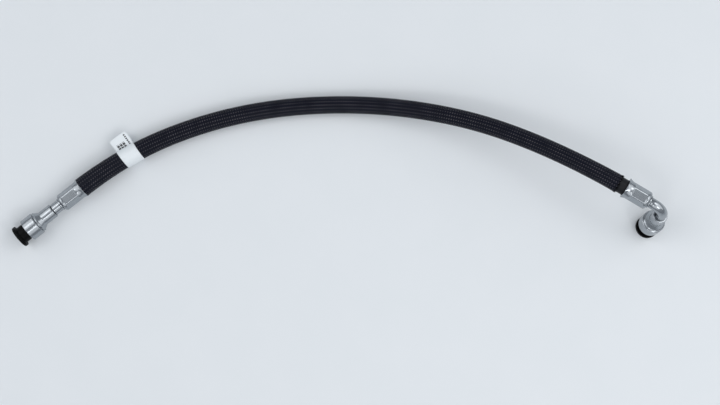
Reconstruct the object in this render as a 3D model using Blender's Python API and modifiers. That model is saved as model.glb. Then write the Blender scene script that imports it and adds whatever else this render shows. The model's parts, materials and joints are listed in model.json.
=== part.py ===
"""Flexible fuel line with a straight swivel end and an elbow swivel end.

Modelled at real size in metres, +Z up, lying on a table at z = 0. The straight end rests on its
swivel nut, the hose lies in a flat arch, and the elbow end stands on its dust cap and lifts the
last third of the hose. The origin is the centre of the two end fittings, at table height.

Two local frames carry the fittings. A hose-end frame starts at the ferrule's rim and its Z axis
runs out of the hose. A port frame starts at the tail of the swivel nut and its Z axis runs out of
the port.
"""
import math

import bmesh
import bpy
import numpy as np
from mathutils import Matrix, Vector

# Fits
CLEARANCE = 0.0003          # gap between pieces that touch
SWIVEL_CLEARANCE = 0.00035  # radial running gap of the nut on its pipe
BORE_OVERRUN = 0.0015       # how far a bore's cutter runs out of a tube's ends
MERGE_DISTANCE = 0.00001

# Fineness of the round shapes
TURNED_SIDES = 32
TUBE_SIDES = 12
PIPE_SIDES = 20
BEND_STEPS = 10
EDGE_STEPS = 2
NOSE_STEPS = 4
FLARE_STEPS = 4
SEAL_SIDES = 8
LABEL_WRAP_STEPS = 16
LABEL_CURVE_STEPS = 5
ROUTE_STEPS = 50            # points read between two of the route's knots

# Hose and sleeve
HOSE_DIAMETER = 0.0180
HOSE_BORE = 0.0095
CRIMPED_HOSE_DIAMETER = 0.0162
CRIMP_LEAD = 0.0045         # length over which the hose narrows inside the ferrule
HOSE_POINT_SPACING = 0.040
HOSE_LEAD = 0.006           # the hose leaves the straight ferrule square to its rim
SLEEVE_WALL = 0.0006
SLEEVE_BULGE = 0.00165      # extra radius where the sleeve is pushed up against the straight end
BULGE_REACH = 0.110
SLEEVE_FLARE = 0.0004       # extra radius at the cut end
FLARE_REACH = 0.025
BARE_HOSE = 0.0100          # hose left bare beside the elbow end

# Ferrule
FERRULE_LENGTH = 0.0295
FERRULE_RIM_DIAMETER = 0.0242
FERRULE_FLARE_LENGTH = 0.0064
FERRULE_WALL = 0.0020
CRIMP_DIAMETER = 0.0208     # over the rounded corners of the crimp
CRIMP_ACROSS_FLATS = 0.0187
CRIMP_FLATS = 6
CRIMP_START = 0.0070
CRIMP_END = 0.0262
CRIMP_RUNOUT = 0.0014       # slope at both ends of a flat
FERRULE_NOSE_RADIUS = 0.0028
RIM_ROUNDING = 0.0005

# Nipple
BARB_DIAMETER = 0.0086
BARB_DEPTH = 0.00055
BARB_COUNT = 4
BARB_PITCH = 0.0056
BARB_RAMP = 0.00448         # slope that lets the hose slide on
BARB_CREST = 0.00056        # flat top of a barb
TAIL_START = 0.0025         # free end of the barbed tail, from the rim
NIPPLE_BORE = 0.0064
NECK_DIAMETER = 0.0135
COLLAR_DIAMETER = 0.0148
COLLAR_LENGTH = 0.0014
COLLAR_FILLET = 0.0010

# Pipe
PIPE_DIAMETER = 0.0120
PIPE_WALL = 0.0015
BEND_RADIUS = 0.0152
BRAZE_SOCKET = 0.0027       # depth of pipe held in the elbow nipple
COLLAR_TO_BEND = 0.0053     # straight pipe between the elbow nipple's collar and the bend
BEND_TO_NUT = 0.0026        # straight pipe between the bend and the elbow nut's tail

# Swivel nut, in the port frame
NECK_EXPOSED = 0.0102       # from the collar's seat to the nut's tail, straight end
NUT_TAIL_DIAMETER = 0.0166
NUT_TAIL_LENGTH = 0.0154
NUT_SHOULDER_DIAMETER = 0.0244
NUT_SHOULDER_LENGTH = 0.0063
NUT_GROOVE_WIDTH = 0.0010
NUT_GROOVE_DEPTH = 0.0009
NUT_FRONT_DIAMETER = 0.0266
NUT_FRONT_LENGTH = 0.0148
NUT_EDGE = 0.0005
NUT_THREAD_BORE = 0.0204
NUT_MOUTH_CHAMFER = 0.0010
NUT_SEAT_START = 0.0176     # where the inner seat leaves the tail bore

# Cone head and seal ring, in the port frame
HEAD_DIAMETER = 0.0194
HEAD_LAND = 0.0022
HEAD_NOSE_DIAMETER = 0.0182
HEAD_LIP = 0.0012
CONE_HALF_ANGLE = math.radians(12.0)
PIPE_IN_HEAD = 0.0283       # where the pipe stops inside the head
SEAL_SECTION = 0.0016
SEAL_GROOVE_START = 0.0253
SEAL_GROOVE_WIDTH = 0.0024
SEAL_GROOVE_FLOOR = 0.0140

# Dust cap, in the port frame
CAP_INSERT = 0.0070
CAP_PLUG_LENGTH = 0.0092    # plug seen between nut and flange
CAP_WALL = 0.0015
CAP_FLANGE_DIAMETER = 0.0258
CAP_FLANGE_THICKNESS = 0.0036
CAP_EDGE = 0.0006
CAP_TAPER = 0.0006

# Label
LABEL_STATION = 0.067       # along the hose from the straight end's rim
LABEL_WIDTH = 0.0214
LABEL_REACH = 0.0267        # from the hose's axis to the end of the flag
LABEL_FILM = 0.0002
LABEL_EASE = 0.0004         # looseness of the wrap on the sleeve
LABEL_FILLET = 0.0030
LABEL_CORNER = 0.0030
LABEL_SKEW = math.radians(7.0)

# Layout on the table
PART_CENTRE = Vector((-0.02589, -0.01168))
STRAIGHT_RIM = Vector((-0.3173, 0.0170))
STRAIGHT_AZIMUTH = math.radians(218.4)
ELBOW_CORNER = Vector((0.3377, -0.0101))
ELBOW_AZIMUTH = math.radians(-30.7)     # the way the hose runs into the elbow
LEG_TILT = math.radians(17.8)
LEG_LEAN_AZIMUTH = math.radians(243.0)

# Centre of the hose where it lies free, chosen by hand from the straight end to the elbow
HOSE_ROUTE = [
    Vector((-0.2850, 0.0400, 0.0123)),
    Vector((-0.2455, 0.0628, 0.0114)),
    Vector((-0.1950, 0.0838, 0.0106)),
    Vector((-0.1425, 0.0988, 0.0104)),
    Vector((-0.0885, 0.1079, 0.0102)),
    Vector((-0.0300, 0.1115, 0.0108)),
    Vector((0.0300, 0.1091, 0.0168)),
    Vector((0.0840, 0.1014, 0.0266)),
    Vector((0.1360, 0.0886, 0.0384)),
    Vector((0.1860, 0.0704, 0.0502)),
    Vector((0.2320, 0.0494, 0.0597)),
    Vector((0.2680, 0.0306, 0.0659)),
]

# Sizes worked out from the ones above
HOSE_RADIUS = HOSE_DIAMETER / 2
SLEEVE_RADIUS = HOSE_RADIUS + CLEARANCE + SLEEVE_WALL
PIPE_RADIUS = PIPE_DIAMETER / 2
NUT_BORE_RADIUS = PIPE_RADIUS + SWIVEL_CLEARANCE
NUT_GROOVE_START = NUT_TAIL_LENGTH + NUT_SHOULDER_LENGTH
NUT_FRONT_START = NUT_GROOVE_START + NUT_GROOVE_WIDTH
NUT_LENGTH = NUT_FRONT_START + NUT_FRONT_LENGTH
CAP_PLUG_DIAMETER = NUT_THREAD_BORE - 2 * CLEARANCE
CAP_FLANGE_START = NUT_LENGTH + CAP_PLUG_LENGTH
CAP_FACE = CAP_FLANGE_START + CAP_FLANGE_THICKNESS
COLLAR_START = FERRULE_LENGTH + CLEARANCE
COLLAR_END = COLLAR_START + COLLAR_LENGTH
PORT_START = COLLAR_END + NECK_EXPOSED
HOSE_END = FERRULE_LENGTH - FERRULE_WALL - CLEARANCE
ELBOW_RUN = COLLAR_END + COLLAR_TO_BEND + BEND_RADIUS   # from the elbow ferrule's rim to the corner
LEG_TO_NUT = BEND_RADIUS + BEND_TO_NUT                  # from the corner to the nut's tail
LEG_LENGTH = LEG_TO_NUT + CAP_FACE                      # from the corner to the cap's outer face


def clear_scene():
    for thing in list(bpy.data.objects):
        bpy.data.objects.remove(thing, do_unlink=True)


def new_collection(name):
    collection = bpy.data.collections.new(name)
    bpy.context.scene.collection.children.link(collection)
    return collection


def new_material(name, colour, roughness, metallic):
    material = bpy.data.materials.new(name)
    material.use_nodes = True
    shader = material.node_tree.nodes["Principled BSDF"]
    shader.inputs["Base Color"].default_value = (*colour, 1.0)
    shader.inputs["Roughness"].default_value = roughness
    shader.inputs["Metallic"].default_value = metallic
    return material


def place(thing, collection, parent=None):
    collection.objects.link(thing)
    thing.parent = parent
    return thing


def arc(centre, radius, start, end, steps):
    """Points on an arc round centre, angles in degrees."""
    points = []
    for step in range(steps + 1):
        angle = math.radians(start + (end - start) * step / steps)
        points.append((centre[0] + radius * math.cos(angle), centre[1] + radius * math.sin(angle)))
    return points


# Turned pieces


def turned(name, profile, closed, material, collection, parent):
    """Revolve a profile of (radius, z) points, which runs down its outer side."""
    mesh = bpy.data.meshes.new(name)
    shape = bmesh.new()
    verts = [shape.verts.new((radius, 0.0, height)) for radius, height in profile]
    for first, second in zip(verts, verts[1:]):
        shape.edges.new((first, second))
    if closed:
        shape.edges.new((verts[-1], verts[0]))
    shape.to_mesh(mesh)
    shape.free()
    thing = place(bpy.data.objects.new(name, mesh), collection, parent)
    screw = thing.modifiers.new("Turn", "SCREW")
    screw.axis = "Z"
    screw.steps = TURNED_SIDES
    screw.render_steps = TURNED_SIDES
    screw.use_merge_vertices = True
    screw.merge_threshold = MERGE_DISTANCE
    screw.use_smooth_shade = True
    mesh.materials.append(material)
    return thing


def turned_ring(name, outer, inner, material, collection, parent):
    """Turned piece with a bore; both profiles are given from low z to high z."""
    return turned(name, list(reversed(outer)) + list(inner), True, material, collection, parent)


def ferrule_radius(height):
    """Outer radius of the ferrule before it is crimped, with its flared rim."""
    flare = max(0.0, 1.0 - height / FERRULE_FLARE_LENGTH)
    return CRIMP_DIAMETER / 2 + (FERRULE_RIM_DIAMETER - CRIMP_DIAMETER) / 2 * flare ** 2


def crimp_cutter(name, collection, parent):
    """Six sloped blocks whose inner faces are the flats of the crimp."""
    flat = CRIMP_ACROSS_FLATS / 2
    reach = FERRULE_RIM_DIAMETER / 2
    half_width = flat * math.tan(math.pi / CRIMP_FLATS) - CLEARANCE
    shape = bmesh.new()
    for index in range(CRIMP_FLATS):
        block = bmesh.ops.create_cube(shape, size=1.0)["verts"]
        for vert in block:
            inside = vert.co.x < 0
            slope = CRIMP_RUNOUT if inside else -CRIMP_RUNOUT
            at_start = vert.co.z < 0
            vert.co.x = flat if inside else reach
            vert.co.y = math.copysign(half_width, vert.co.y)
            vert.co.z = CRIMP_START + slope if at_start else CRIMP_END - slope
        turn = Matrix.Rotation(2 * math.pi * index / CRIMP_FLATS, 3, "Z")
        bmesh.ops.rotate(shape, verts=block, cent=(0, 0, 0), matrix=turn)
    mesh = bpy.data.meshes.new(name)
    shape.to_mesh(mesh)
    shape.free()
    cutter = place(bpy.data.objects.new(name, mesh), collection, parent)
    cutter.hide_render = True
    cutter.display_type = "WIRE"
    return cutter


def ferrule(name, material, collection, cutters, parent):
    """Crimped shell: flared rim, six flats, rounded nose and an inward front wall."""
    rim = FERRULE_RIM_DIAMETER / 2
    body = CRIMP_DIAMETER / 2
    steps = [FERRULE_FLARE_LENGTH * (step + 1) / FLARE_STEPS for step in range(FLARE_STEPS)]
    outer = arc((rim - RIM_ROUNDING, RIM_ROUNDING), RIM_ROUNDING, -90, 0, EDGE_STEPS)
    outer += [(ferrule_radius(height), height) for height in steps]
    nose = (body - FERRULE_NOSE_RADIUS, FERRULE_LENGTH - FERRULE_NOSE_RADIUS)
    outer += arc(nose, FERRULE_NOSE_RADIUS, 0, 90, NOSE_STEPS)
    front_bore = NECK_DIAMETER / 2 + CLEARANCE
    inner = [(ferrule_radius(height) - FERRULE_WALL, height) for height in [0.0] + steps]
    inner += [(body - FERRULE_WALL, FERRULE_LENGTH - FERRULE_WALL)]
    inner += [(front_bore, FERRULE_LENGTH - FERRULE_WALL), (front_bore, FERRULE_LENGTH)]
    thing = turned_ring(name, outer, inner, material, collection, parent)
    crimp = thing.modifiers.new("Crimp", "BOOLEAN")
    crimp.operation = "DIFFERENCE"
    crimp.solver = "EXACT"
    crimp.object = crimp_cutter(name + "_crimp", cutters, parent)
    return thing


def barbed_tail():
    """Outer profile of the hose tail, from its free end to the neck inside the ferrule."""
    ridge = BARB_DIAMETER / 2
    root = ridge - BARB_DEPTH
    points = [(root, TAIL_START)]
    for index in range(BARB_COUNT):
        height = TAIL_START + BARB_PITCH * index
        points += [(ridge, height + BARB_RAMP), (ridge, height + BARB_RAMP + BARB_CREST)]
        points += [(root, height + BARB_PITCH)]
    shoulder = HOSE_END + CLEARANCE
    points += [(root, shoulder), (NECK_DIAMETER / 2, shoulder)]
    return points


def collar(next_radius):
    """Neck through the ferrule's front wall, collar, and fillet down to what follows."""
    radius = COLLAR_DIAMETER / 2
    points = [(NECK_DIAMETER / 2, COLLAR_START), (radius, COLLAR_START), (radius, COLLAR_END)]
    points += [(next_radius + COLLAR_FILLET / 2, COLLAR_END + COLLAR_FILLET / 4)]
    points += [(next_radius, COLLAR_END + COLLAR_FILLET)]
    return points


def straight_nipple(material, collection, parent):
    """One turned stem: barbed tail, collar, neck, and the spigot that carries nut and head."""
    neck = NECK_DIAMETER / 2
    step = PORT_START - 2 * CLEARANCE
    end = PORT_START + PIPE_IN_HEAD
    outer = barbed_tail() + collar(neck)
    outer += [(neck, step - CLEARANCE), (neck - CLEARANCE, step), (PIPE_RADIUS, step), (PIPE_RADIUS, end)]
    bore = NIPPLE_BORE / 2
    wide = PIPE_RADIUS - PIPE_WALL
    inner = [(bore, TAIL_START), (bore, COLLAR_END), (wide, COLLAR_END + wide - bore), (wide, end)]
    return turned_ring("straight_nipple", outer, inner, material, collection, parent)


def elbow_nipple(material, collection, parent):
    """Barbed tail with a collar, bored out as a socket for the pipe."""
    socket = PIPE_RADIUS + CLEARANCE
    floor = COLLAR_END - BRAZE_SOCKET
    bore = NIPPLE_BORE / 2
    outer = barbed_tail() + [(NECK_DIAMETER / 2, COLLAR_START)]
    radius = COLLAR_DIAMETER / 2
    outer += [(radius, COLLAR_START), (radius, COLLAR_END)]
    inner = [(bore, TAIL_START), (bore, floor), (socket, floor), (socket, COLLAR_END)]
    return turned_ring("elbow_nipple", outer, inner, material, collection, parent)


def swivel_nut(name, material, collection, parent):
    """Round tail, flared shoulder, groove and larger front, bored for pipe, seat and thread."""
    tail = NUT_TAIL_DIAMETER / 2
    shoulder = NUT_SHOULDER_DIAMETER / 2
    front = NUT_FRONT_DIAMETER / 2
    groove = shoulder - NUT_GROOVE_DEPTH
    outer = [(tail - NUT_EDGE, 0.0), (tail, NUT_EDGE), (tail, NUT_TAIL_LENGTH)]
    outer += [(shoulder, NUT_GROOVE_START - NUT_EDGE / 2), (shoulder, NUT_GROOVE_START)]
    outer += [(groove, NUT_GROOVE_START), (groove, NUT_FRONT_START)]
    outer += [(front - NUT_EDGE, NUT_FRONT_START), (front, NUT_FRONT_START + NUT_EDGE)]
    outer += arc((front - NUT_EDGE, NUT_LENGTH - NUT_EDGE), NUT_EDGE, 0, 90, EDGE_STEPS)
    thread = NUT_THREAD_BORE / 2
    seat_end = NUT_SEAT_START + thread - NUT_BORE_RADIUS
    inner = [(NUT_BORE_RADIUS, 0.0), (NUT_BORE_RADIUS, NUT_SEAT_START), (thread, seat_end)]
    inner += [(thread, NUT_LENGTH - NUT_MOUTH_CHAMFER), (thread + NUT_MOUTH_CHAMFER, NUT_LENGTH)]
    return turned_ring(name, outer, inner, material, collection, parent)


def cone_head(name, material, collection, parent):
    """Sealing head on the pipe's end: 45 degree back, land, and a grooved 24 degree cone."""
    bore = PIPE_RADIUS + CLEARANCE
    back = bore + CLEARANCE
    land = HEAD_DIAMETER / 2
    seat_offset = NUT_SEAT_START + CLEARANCE * math.sqrt(2)
    back_start = seat_offset + back - NUT_BORE_RADIUS
    land_start = seat_offset + land - NUT_BORE_RADIUS
    nose_start = land_start + HEAD_LAND
    end = PIPE_IN_HEAD + CLEARANCE + HEAD_LIP

    def cone(height):
        return HEAD_NOSE_DIAMETER / 2 - (height - nose_start) * math.tan(CONE_HALF_ANGLE)

    groove_end = SEAL_GROOVE_START + SEAL_GROOVE_WIDTH
    floor = SEAL_GROOVE_FLOOR / 2
    outer = [(back, back_start), (land, land_start), (land, nose_start), (cone(nose_start), nose_start)]
    outer += [(cone(SEAL_GROOVE_START), SEAL_GROOVE_START), (floor, SEAL_GROOVE_START)]
    outer += [(floor, groove_end), (cone(groove_end), groove_end), (cone(end), end)]
    lip = PIPE_RADIUS - PIPE_WALL
    stop = PIPE_IN_HEAD + CLEARANCE
    inner = [(bore, back_start), (bore, stop), (lip, stop), (lip, end)]
    return turned_ring(name, outer, inner, material, collection, parent)


def seal_ring(name, material, collection, parent):
    """O-ring lying in the groove of the cone head."""
    section = SEAL_SECTION / 2
    ring_radius = SEAL_GROOVE_FLOOR / 2 + CLEARANCE + section
    centre = (ring_radius, SEAL_GROOVE_START + SEAL_GROOVE_WIDTH / 2)
    profile = arc(centre, section, 90, -270, SEAL_SIDES)[:-1]
    return turned(name, profile, True, material, collection, parent)


def dust_cap(name, material, collection, parent):
    """Moulded plug: hollow towards the port, closed by its flange."""
    plug = CAP_PLUG_DIAMETER / 2
    flange = CAP_FLANGE_DIAMETER / 2
    start = NUT_LENGTH - CAP_INSERT
    cavity = plug - CAP_WALL
    rounding = flange - CAP_EDGE
    profile = [(0.0, CAP_FACE)]
    profile += arc((rounding, CAP_FACE - CAP_EDGE), CAP_EDGE, 90, 0, EDGE_STEPS)
    profile += arc((rounding, CAP_FLANGE_START + CAP_EDGE), CAP_EDGE, 0, -90, EDGE_STEPS)
    profile += [(plug, CAP_FLANGE_START), (plug, start + 2 * CAP_TAPER), (plug - CAP_TAPER, start)]
    profile += [(cavity, start), (cavity, CAP_FACE - CAP_WALL), (0.0, CAP_FACE - CAP_WALL)]
    return turned(name, profile, False, material, collection, parent)


# Swept pieces


def smooth_curve(points, first_direction, last_direction):
    """Dense points on a cubic spline through points, clamped at both ends."""
    knots = np.array([tuple(point) for point in points])
    gaps = np.linalg.norm(np.diff(knots, axis=0), axis=1)
    count = len(knots)
    matrix = np.eye(count)
    right = np.zeros((count, 3))
    right[0] = first_direction
    right[-1] = last_direction
    for index in range(1, count - 1):
        before = gaps[index - 1]
        after = gaps[index]
        matrix[index, index - 1:index + 2] = (1 / before, 2 / before + 2 / after, 1 / after)
        rise_before = (knots[index] - knots[index - 1]) / before ** 2
        rise_after = (knots[index + 1] - knots[index]) / after ** 2
        right[index] = 3 * (rise_before + rise_after)
    slopes = np.linalg.solve(matrix, right)
    dense = []
    for index, gap in enumerate(gaps):
        for step in np.arange(ROUTE_STEPS) / ROUTE_STEPS:
            near = (1 + 2 * step) * (1 - step) ** 2 * knots[index]
            far = step ** 2 * (3 - 2 * step) * knots[index + 1]
            leave = step * (1 - step) ** 2 * gap * slopes[index]
            arrive = step ** 2 * (step - 1) * gap * slopes[index + 1]
            dense.append(near + far + leave + arrive)
    dense.append(knots[-1])
    return np.array(dense)


class Route:
    """The free hose's centre line, read by distance from the straight end's rim."""

    def __init__(self, points, first_direction, last_direction):
        self.dense = smooth_curve(points, first_direction, last_direction)
        steps = np.linalg.norm(np.diff(self.dense, axis=0), axis=1)
        self.distance = np.concatenate([[0.0], np.cumsum(steps)])
        self.length = float(self.distance[-1])

    def at(self, station):
        return Vector([np.interp(station, self.distance, column) for column in self.dense.T])


def tube_mesh(name, points, radii, sides, twist):
    """Closed tube through points, as a mesh with its caps welded."""
    curve = bpy.data.curves.new(name, "CURVE")
    curve.dimensions = "3D"
    curve.twist_mode = twist
    curve.bevel_depth = 1.0
    curve.bevel_resolution = (sides - 4) // 2
    curve.use_fill_caps = True
    spline = curve.splines.new("POLY")
    spline.points.add(len(points) - 1)
    for point, place_at, radius in zip(spline.points, points, radii):
        point.co = (*place_at, 1.0)
        point.radius = radius
    guide = bpy.data.objects.new(name + "_guide", curve)
    bpy.context.scene.collection.objects.link(guide)
    evaluated = guide.evaluated_get(bpy.context.evaluated_depsgraph_get())
    mesh = bpy.data.meshes.new_from_object(evaluated)
    bpy.data.objects.remove(guide, do_unlink=True)
    shape = bmesh.new()
    shape.from_mesh(mesh)
    bmesh.ops.remove_doubles(shape, verts=shape.verts, dist=MERGE_DISTANCE)
    shape.to_mesh(mesh)
    shape.free()
    mesh.name = name
    return mesh


def hollow_tube(name, points, radii, bore_radii, sides, twist, material, collection, cutters):
    """Tube along points with a bore that runs out of both ends."""
    solid = tube_mesh(name, points, radii, sides, twist)
    solid.materials.append(material)
    thing = place(bpy.data.objects.new(name, solid), collection)
    first = (points[0] - points[1]).normalized() * BORE_OVERRUN
    last = (points[-1] - points[-2]).normalized() * BORE_OVERRUN
    longer = [points[0] + first] + points[1:-1] + [points[-1] + last]
    bore_mesh = tube_mesh(name + "_bore", longer, bore_radii, sides, twist)
    bore = place(bpy.data.objects.new(name + "_bore", bore_mesh), cutters)
    bore.hide_render = True
    bore.display_type = "WIRE"
    cut = thing.modifiers.new("Bore", "BOOLEAN")
    cut.operation = "DIFFERENCE"
    cut.solver = "EXACT"
    cut.object = bore
    return thing


def sleeve_radius(station, end):
    """Outer radius of the braided sleeve: loose at the straight end, flared at its cut end."""
    bulge = SLEEVE_BULGE * math.exp(-station / BULGE_REACH)
    flare = SLEEVE_FLARE * math.exp(-(end - station) / FLARE_REACH)
    return SLEEVE_RADIUS + bulge + flare


def free_stations(sleeve_end):
    """Distances of the tubes' points, shared by hose and sleeve so that both bend alike."""
    label_edges = [LABEL_STATION - LABEL_WIDTH / 2, LABEL_STATION + LABEL_WIDTH / 2]
    anchors = [0.0, HOSE_LEAD] + label_edges + [sleeve_end]
    stations = [0.0]
    for start, end in zip(anchors, anchors[1:]):
        count = max(1, round((end - start) / HOSE_POINT_SPACING))
        stations += [start + (end - start) * index / count for index in range(1, count + 1)]
    return stations


def hose(route, straight_frame, elbow_frame, material, collection, cutters):
    """Rubber hose from nipple collar to nipple collar, squeezed inside both ferrules."""
    crimped = CRIMPED_HOSE_DIAMETER / 2
    stations = free_stations(route.length - BARE_HOSE)
    points = [straight_frame @ Vector((0, 0, HOSE_END)), straight_frame @ Vector((0, 0, CRIMP_LEAD))]
    points += [route.at(station) for station in stations]
    points += [elbow_frame @ Vector((0, 0, 0))]
    points += [elbow_frame @ Vector((0, 0, CRIMP_LEAD)), elbow_frame @ Vector((0, 0, HOSE_END))]
    outer = [crimped, crimped] + [HOSE_RADIUS] * (len(stations) + 1) + [crimped, crimped]
    bore = [HOSE_BORE / 2] * len(points)
    return hollow_tube("hose", points, outer, bore, TUBE_SIDES, "Z_UP", material, collection, cutters)


def braided_sleeve(route, material, collection, cutters):
    """Thin woven sleeve over the hose, from the straight ferrule to its cut end."""
    end = route.length - BARE_HOSE
    stations = [CLEARANCE] + free_stations(end)[1:]
    points = [route.at(station) for station in stations]
    outer = [sleeve_radius(station, end) for station in stations]
    bore = [radius - SLEEVE_WALL for radius in outer]
    name = "braided_sleeve"
    return hollow_tube(name, points, outer, bore, TUBE_SIDES, "Z_UP", material, collection, cutters)


def elbow_pipe(hose_frame, port_frame, corner, material, collection, cutters):
    """Bent tube from the nipple's socket to the cone head."""
    start = hose_frame @ Vector((0, 0, COLLAR_END - BRAZE_SOCKET + CLEARANCE))
    end = port_frame @ Vector((0, 0, PIPE_IN_HEAD))
    back = (start - corner).normalized()
    down = (end - corner).normalized()
    centre = corner + (back + down) * BEND_RADIUS
    bend = []
    for step in range(BEND_STEPS + 1):
        angle = math.pi / 2 * step / BEND_STEPS
        bend.append(centre - (down * math.cos(angle) + back * math.sin(angle)) * BEND_RADIUS)
    points = [start] + bend + [end]
    outer = [PIPE_RADIUS] * len(points)
    bore = [PIPE_RADIUS - PIPE_WALL] * len(points)
    name = "elbow_pipe"
    return hollow_tube(name, points, outer, bore, PIPE_SIDES, "MINIMUM", material, collection, cutters)


# Label


def label(route, material, collection, cutters):
    """Film wrapped once round the sleeve, its two ends laid together as a flag."""
    low = LABEL_STATION - LABEL_WIDTH / 2
    high = LABEL_STATION + LABEL_WIDTH / 2
    wrap = sleeve_radius(low, route.length - BARE_HOSE) + LABEL_EASE
    ply = CLEARANCE / 2
    tip = LABEL_REACH + LABEL_CORNER
    fillet_x = math.sqrt((wrap + LABEL_FILLET) ** 2 - (ply + LABEL_FILLET) ** 2)
    fillet_angle = math.degrees(math.atan2(ply + LABEL_FILLET, fillet_x))
    centre = (fillet_x, ply + LABEL_FILLET)
    upper = [(tip, ply)] + arc(centre, LABEL_FILLET, -90, -180 + fillet_angle, LABEL_CURVE_STEPS)
    half_wrap = arc((0, 0), wrap, fillet_angle, 180, LABEL_WRAP_STEPS)[1:]
    half = upper + half_wrap
    outline = half + [(x, -y) for x, y in reversed(half[:-1])]
    strip = bpy.data.curves.new("label_strip", "CURVE")
    strip.dimensions = "3D"
    strip.extrude = LABEL_WIDTH
    spline = strip.splines.new("POLY")
    spline.points.add(len(outline) - 1)
    for point, (x, y) in zip(spline.points, outline):
        point.co = (x, y, 0.0, 1.0)
    guide = bpy.data.objects.new("label_guide", strip)
    bpy.context.scene.collection.objects.link(guide)
    evaluated = guide.evaluated_get(bpy.context.evaluated_depsgraph_get())
    mesh = bpy.data.meshes.new_from_object(evaluated)
    bpy.data.objects.remove(guide, do_unlink=True)
    mesh.materials.append(material)
    thing = place(bpy.data.objects.new("label", mesh), collection)
    along = (route.at(high) - route.at(low)).normalized()
    side = Vector((0, 0, 1)).cross(along).normalized()
    up = along.cross(side)
    turn = Matrix((side, up, along)).transposed().to_4x4()
    frame = Matrix.Translation((route.at(low) + route.at(high)) / 2) @ turn
    thing.matrix_world = frame
    film = thing.modifiers.new("Film", "SOLIDIFY")
    film.thickness = LABEL_FILM
    film.offset = -1.0
    outline_cut = thing.modifiers.new("Outline", "BOOLEAN")
    outline_cut.operation = "INTERSECT"
    outline_cut.solver = "EXACT"
    outline_cut.object = label_cutter(wrap, frame, cutters)
    return thing


def label_cutter(wrap, frame, cutters):
    """Block with the label's plan outline: skewed on the hose, rounded at the flag's corners."""
    shape = bmesh.new()
    bmesh.ops.create_cube(shape, size=1.0)
    low = -wrap - LABEL_WIDTH / 2
    for vert in shape.verts:
        vert.co.x = LABEL_REACH if vert.co.x > 0 else low
        vert.co.y = math.copysign(wrap + LABEL_WIDTH / 2, vert.co.y)
        vert.co.z = math.copysign(LABEL_WIDTH / 2, vert.co.z)
    corners = []
    for edge in shape.edges:
        if all(vert.co.x > 0 for vert in edge.verts) and edge.verts[0].co.z == edge.verts[1].co.z:
            corners.append(edge)
    bmesh.ops.bevel(
        shape, geom=corners, offset=LABEL_CORNER, segments=LABEL_CURVE_STEPS, profile=0.5, affect="EDGES"
    )
    mesh = bpy.data.meshes.new("label_outline")
    shape.to_mesh(mesh)
    shape.free()
    cutter = place(bpy.data.objects.new("label_outline", mesh), cutters)
    cutter.matrix_world = frame @ Matrix.Rotation(LABEL_SKEW, 4, "Y")
    cutter.hide_render = True
    cutter.display_type = "WIRE"
    return cutter


# Layout


def frame_at(origin, z_axis, x_axis, name, collection):
    """An empty whose Z axis runs out of a hose end or a port."""
    side = z_axis.cross(x_axis).normalized()
    turn = Matrix((side.cross(z_axis), side, z_axis)).transposed().to_4x4()
    empty = place(bpy.data.objects.new(name, None), collection)
    empty.matrix_world = Matrix.Translation(origin) @ turn
    return empty


def direction(azimuth, elevation):
    return Vector((
        math.cos(azimuth) * math.cos(elevation),
        math.sin(azimuth) * math.cos(elevation),
        math.sin(elevation),
    ))


def on_table(point, height):
    """A point of the layout, moved so that the part's centre is the origin."""
    return Vector((point.x - PART_CENTRE.x, point.y - PART_CENTRE.y, height))


def port_pieces(prefix, frame, steel, rubber, plastic, parts):
    swivel_nut(prefix + "_nut", steel, parts, frame)
    cone_head(prefix + "_cone_head", steel, parts, frame)
    seal_ring(prefix + "_seal_ring", rubber, parts, frame)
    dust_cap(prefix + "_cap", plastic, parts, frame)


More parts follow.
